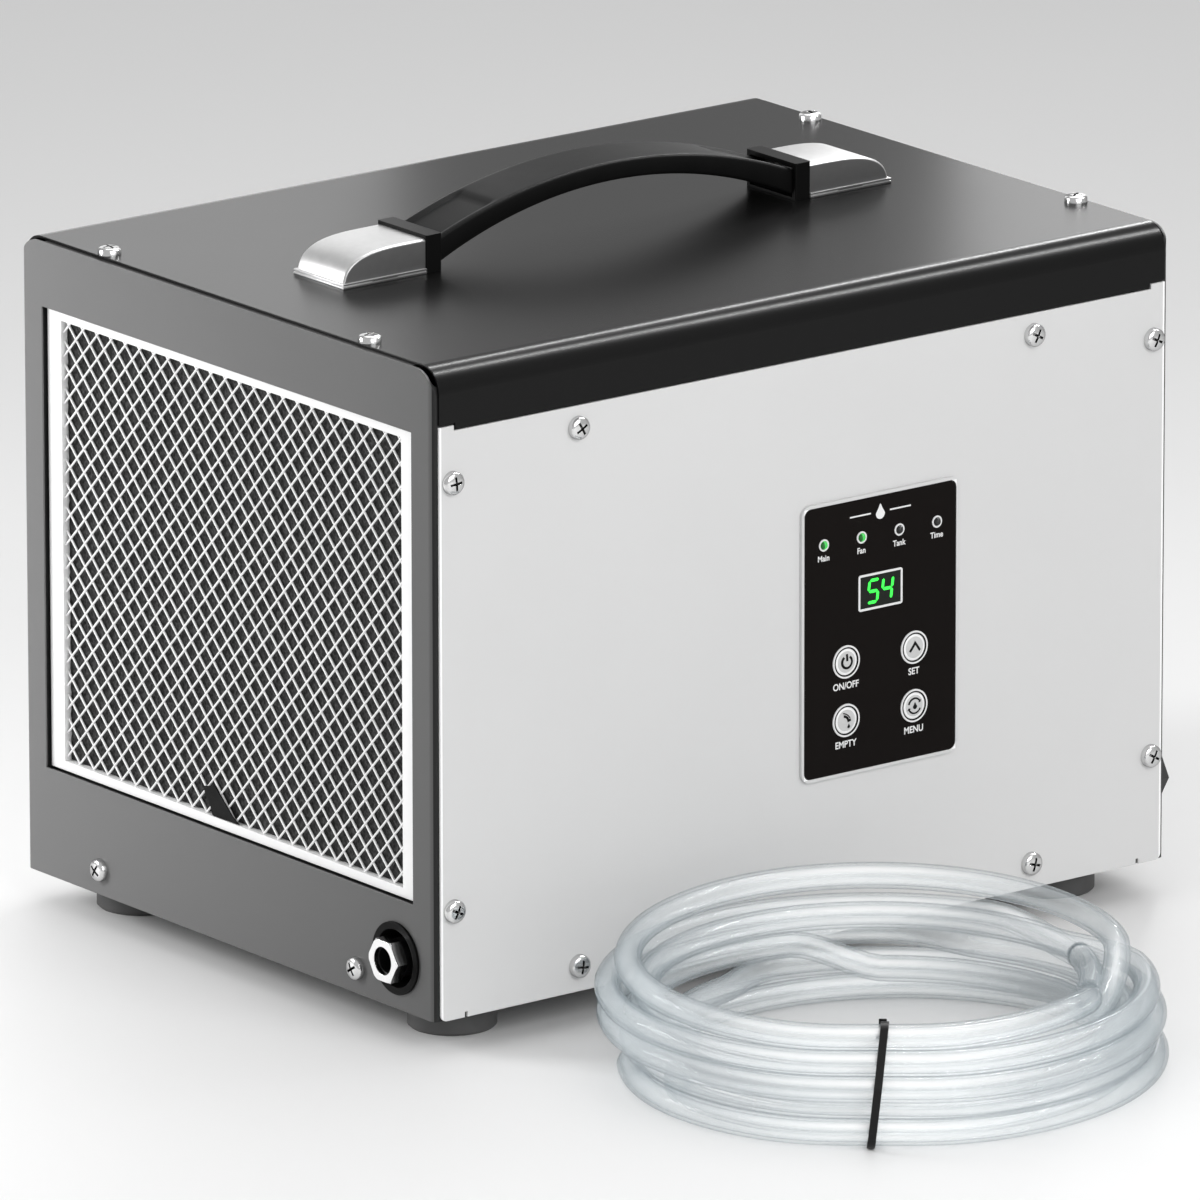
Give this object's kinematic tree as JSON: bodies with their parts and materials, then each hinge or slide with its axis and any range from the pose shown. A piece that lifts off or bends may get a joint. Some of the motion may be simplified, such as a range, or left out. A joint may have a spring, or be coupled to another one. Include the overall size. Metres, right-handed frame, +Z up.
{
  "type": "portable dehumidifier",
  "caption": "Low box-shaped dehumidifier with a strap handle, slide-out intake filter, push-button panel, built-in drain pump and a coiled clear drain hose.",
  "frame": {"origin": "on the floor, under the middle of the cabinet", "axes": "+X along the control face towards the air outlet end, controls look along -Y, +Z up"},
  "size_m": [0.436, 0.5738, 0.3502],
  "materials": {
    "black_steel": "satin black powder coat",
    "grey_steel": "fine-textured dark grey powder coat",
    "light_steel": "smooth light grey powder coat",
    "screw_steel": "bright plated",
    "foot_rubber": "matte black",
    "strap_rubber": "satin black",
    "collar_plastic": "satin black",
    "cap_metal": "satin plated",
    "channel_plastic": "black",
    "filter_plastic": "white",
    "filter_foam": "open dark grey foam",
    "ribbon": "woven black ribbon",
    "bezel_silver": "satin silver",
    "overlay_gloss": "glossy black",
    "display": "smoked",
    "lamp_green": "clear green",
    "button_silver": "satin silver",
    "circuit_board": "green laminate",
    "grommet_rubber": "matte black",
    "fitting_black": "black",
    "nut_chrome": "bright plated",
    "clear_hose": "clear flexible tube",
    "tie_nylon": "black",
    "white_plastic": "natural white",
    "float_foam": "orange",
    "motor_grey": "dark grey",
    "fin_aluminium": "bright",
    "copper": "bare copper",
    "compressor_black": "black enamel",
    "mount_rubber": "matte black",
    "capacitor_can": "satin",
    "shaft_steel": "ground",
    "fan_plastic": "black",
    "guard_wire": "plated wire"
  },
  "bodies": {
    "cabinet": {"base_tray": "black_steel", "intake_panel": "grey_steel", "outlet_panel": "grey_steel", "front_panel": "light_steel", "rear_panel": "light_steel", "top_cover": "black_steel", "cross_rails": "black_steel", "rubber_feet": "foot_rubber", "cabinet_screws": "screw_steel", "machine_screws": "screw_steel", "handle_strap": "strap_rubber", "handle_collars": "collar_plastic", "handle_cap_left": "cap_metal", "handle_cap_right": "cap_metal", "filter_channel": "channel_plastic", "control_bezel": "bezel_silver", "control_overlay": "overlay_gloss", "silver_rings": "bezel_silver", "display_window": "display", "led_lenses": "lamp_green", "control_board": "circuit_board", "control_box": "channel_plastic", "drain_grommet": "grommet_rubber", "fitting_body": "fitting_black", "fitting_nut": "nut_chrome", "drain_tube": "clear_hose", "check_valve": "white_plastic", "pump_reservoir": "channel_plastic", "pump_head": "white_plastic", "pump_motor": "motor_grey", "drip_tray": "channel_plastic", "coil_end_plates": "fin_aluminium", "evaporator_fins": "fin_aluminium", "evaporator_tubes": "copper", "condenser_fins": "fin_aluminium", "condenser_tubes": "copper", "compressor": "compressor_black", "compressor_mounts": "mount_rubber", "refrigerant_lines": "copper", "filter_drier": "copper", "run_capacitor": "capacitor_can", "fan_shroud": "black_steel", "fan_motor": "motor_grey", "fan_bracket": "black_steel", "outlet_grille": "guard_wire", "cable_gland": "fitting_black"},
    "fan": {"fan_impeller": "fan_plastic", "fan_shaft": "shaft_steel"},
    "filter_cassette": {"filter_frame": "filter_plastic", "filter_mesh": "filter_plastic", "filter_foam": "filter_foam", "filter_pull_tab": "ribbon"},
    "button_power_body": {"button_power": "button_silver"},
    "button_set_body": {"button_set": "button_silver"},
    "button_drain_body": {"button_drain": "button_silver"},
    "button_mode_body": {"button_mode": "button_silver"},
    "pump_rotor": {"pump_impeller": "white_plastic"},
    "float_switch": {"pump_float": "float_foam"},
    "hose_coil": {"drain_hose_coil": "clear_hose", "hose_tie": "tie_nylon"}
  },
  "joints": [
    {"name": "fan_spin", "type": "hinge", "parent": "cabinet", "child": "fan", "pos_m": [0.175, 0, 0.176], "axis": [1, 0, 0], "continuous": true},
    {"name": "filter_slide", "type": "slide", "parent": "cabinet", "child": "filter_cassette", "axis": [-1, 0, 0], "range_m": [0, 0.08]},
    {"name": "button_power_press", "type": "slide", "parent": "cabinet", "child": "button_power_body", "axis": [0, 1, 0], "range_m": [0, 0.0006], "stiffness_N_per_m": 500, "springref_m": -0.002},
    {"name": "button_set_press", "type": "slide", "parent": "cabinet", "child": "button_set_body", "axis": [0, 1, 0], "range_m": [0, 0.0006], "stiffness_N_per_m": 500, "springref_m": -0.002},
    {"name": "button_drain_press", "type": "slide", "parent": "cabinet", "child": "button_drain_body", "axis": [0, 1, 0], "range_m": [0, 0.0006], "stiffness_N_per_m": 500, "springref_m": -0.002},
    {"name": "button_mode_press", "type": "slide", "parent": "cabinet", "child": "button_mode_body", "axis": [0, 1, 0], "range_m": [0, 0.0006], "stiffness_N_per_m": 500, "springref_m": -0.002},
    {"name": "pump_spin", "type": "hinge", "parent": "cabinet", "child": "pump_rotor", "pos_m": [-0.042, -0.106, 0.03], "axis": [0, 0, 1], "continuous": true},
    {"name": "float_rise", "type": "slide", "parent": "cabinet", "child": "float_switch", "axis": [0, 0, 1], "range_m": [0, 0.016]},
    {"name": "hose_away", "type": "slide", "parent": "cabinet", "child": "hose_coil", "axis": [0, -1, 0], "range_m": [0, 0.2]}
  ]
}
